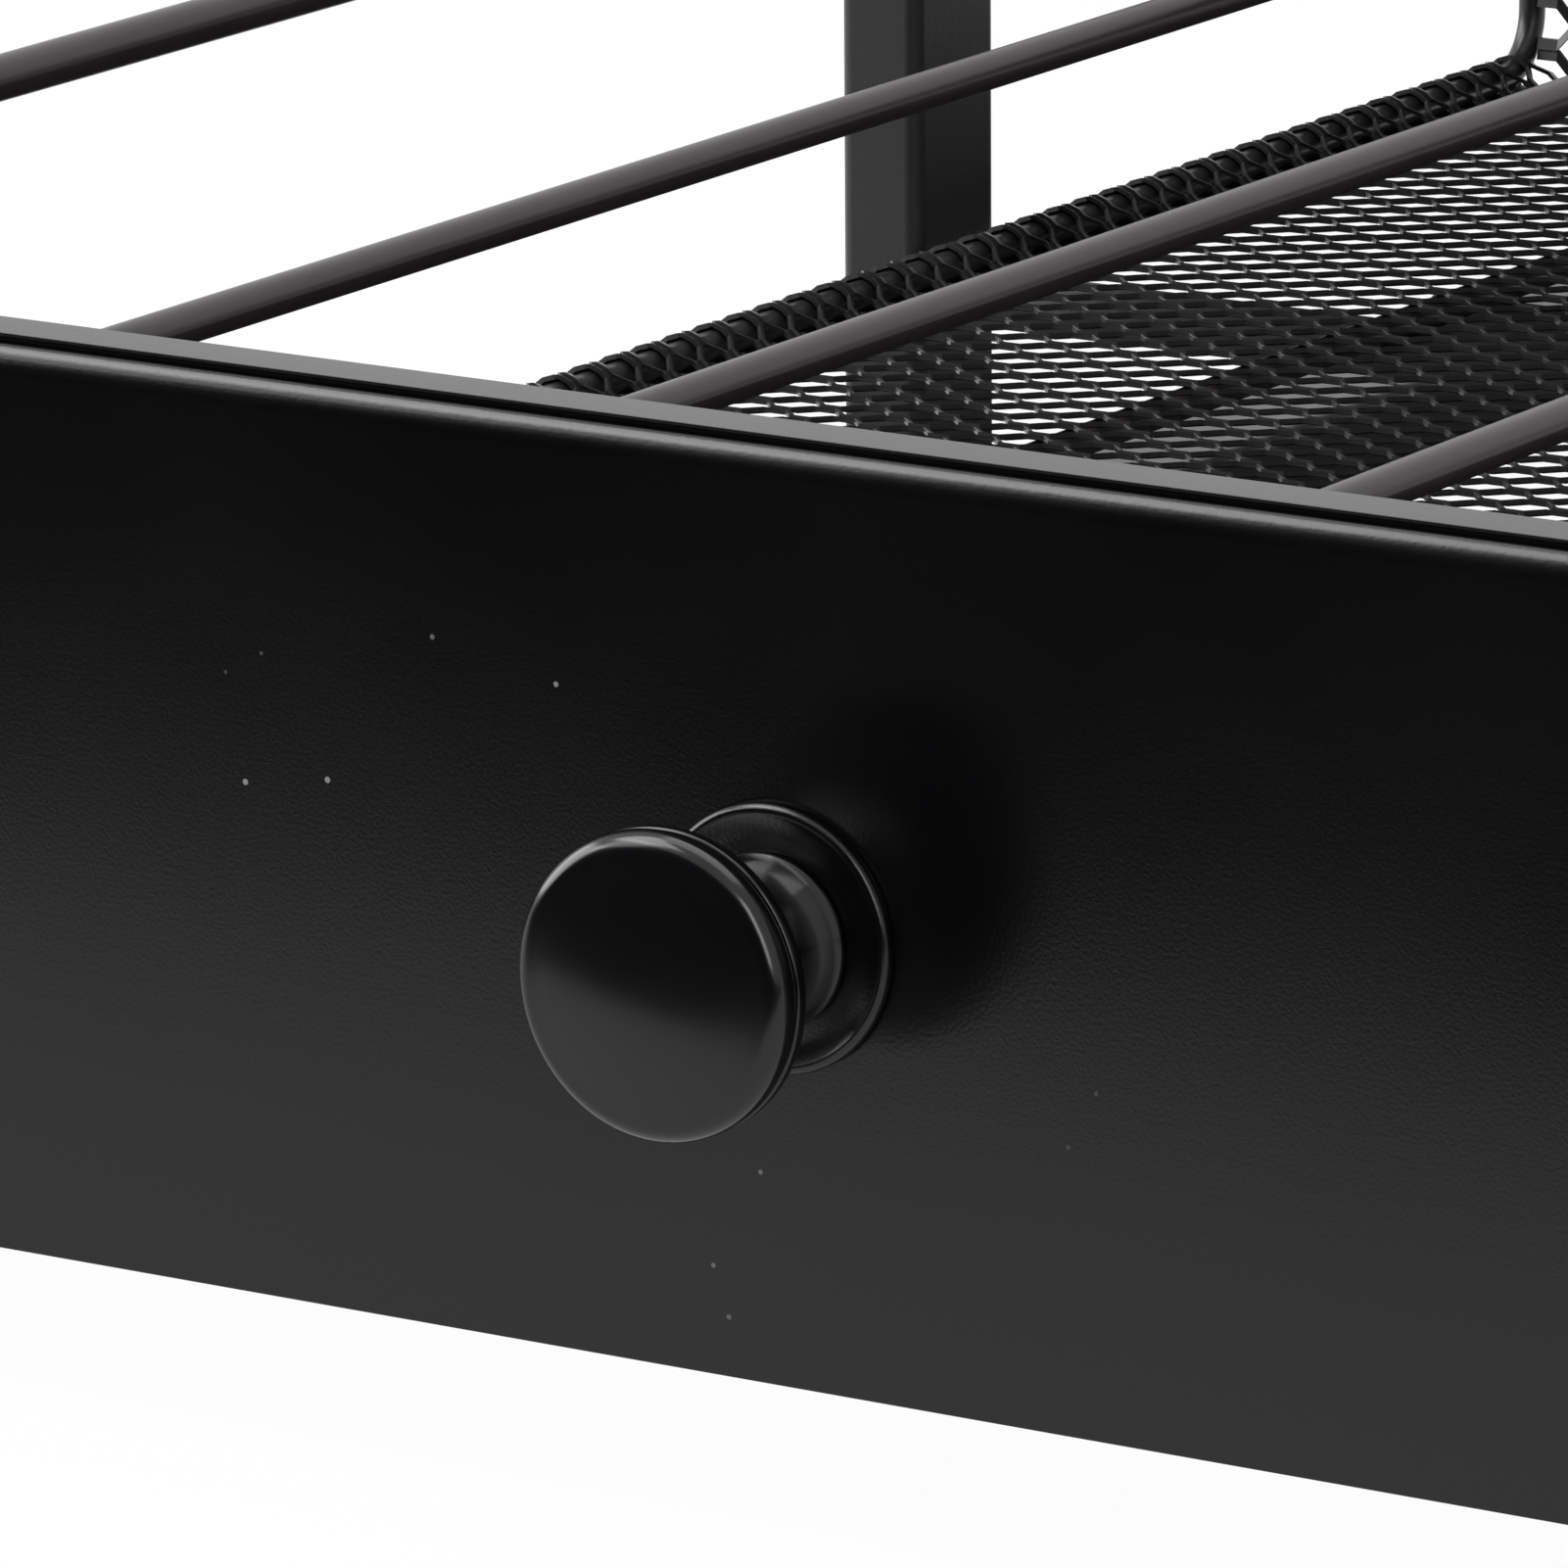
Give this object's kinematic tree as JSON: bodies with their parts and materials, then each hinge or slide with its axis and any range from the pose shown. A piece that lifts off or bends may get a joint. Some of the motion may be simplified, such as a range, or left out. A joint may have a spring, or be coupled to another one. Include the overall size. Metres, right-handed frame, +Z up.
{
  "type": "coffee pod drawer",
  "caption": "Low black steel stand with a mesh top and a sliding wire and mesh drawer for coffee pods, with a plain front panel and a round knob.",
  "frame": {"origin": "middle of the outline on the surface that the stand rests on, with the drawer as far out as in the picture", "axes": "+X to the right seen from the front, +Y from the front panel to the back, +Z up"},
  "size_m": [0.288, 0.6076, 0.093],
  "materials": {
    "frame": "satin black powder coat",
    "panel": "satin black paint",
    "wire": "semi-gloss brownish black paint",
    "mesh": "satin black powder coat",
    "knob": "gloss black paint",
    "rubber": "matte",
    "cap": "matte",
    "zinc": "bright zinc plate"
  },
  "bodies": {
    "stand": {"base_rail_left": "frame", "base_rail_right": "frame", "post_front_left": "frame", "post_front_right": "frame", "post_rear_left": "frame", "post_rear_right": "frame", "slide_bar_front": "frame", "slide_bar_rear": "frame", "top_rail_left": "frame", "top_rail_right": "frame", "top_rail_front": "frame", "top_rail_rear": "frame", "top_cross_bar_front": "frame", "top_cross_bar_rear": "frame", "top_mesh": "mesh", "tube_end_caps": "cap", "side_wire_left": "wire", "side_wire_right": "wire", "back_stop_wire": "wire", "feet": "rubber"},
    "drawer": {"front_panel": "panel", "inner_front": "panel", "rim_wire": "wire", "lane_wire_1": "wire", "lane_wire_2": "wire", "lane_wire_3": "wire", "lane_wire_4": "wire", "back_cross_bar": "frame", "back_upright_left": "wire", "back_upright_right": "wire", "tray_floor": "mesh", "tray_lip_left": "mesh", "tray_lip_right": "mesh", "tray_back": "mesh", "runner_wire_left": "wire", "runner_wire_middle": "wire", "runner_wire_right": "wire", "stop_tab_left": "frame", "stop_tab_right": "frame", "knob": "knob", "knob_rosette": "knob", "knob_screw": "zinc", "screw_washer": "zinc"}
  },
  "joints": [
    {"name": "drawer_slide", "type": "slide", "parent": "stand", "child": "drawer", "axis": [0, 1, 0], "range_m": [-0.0103, 0.2355]}
  ]
}
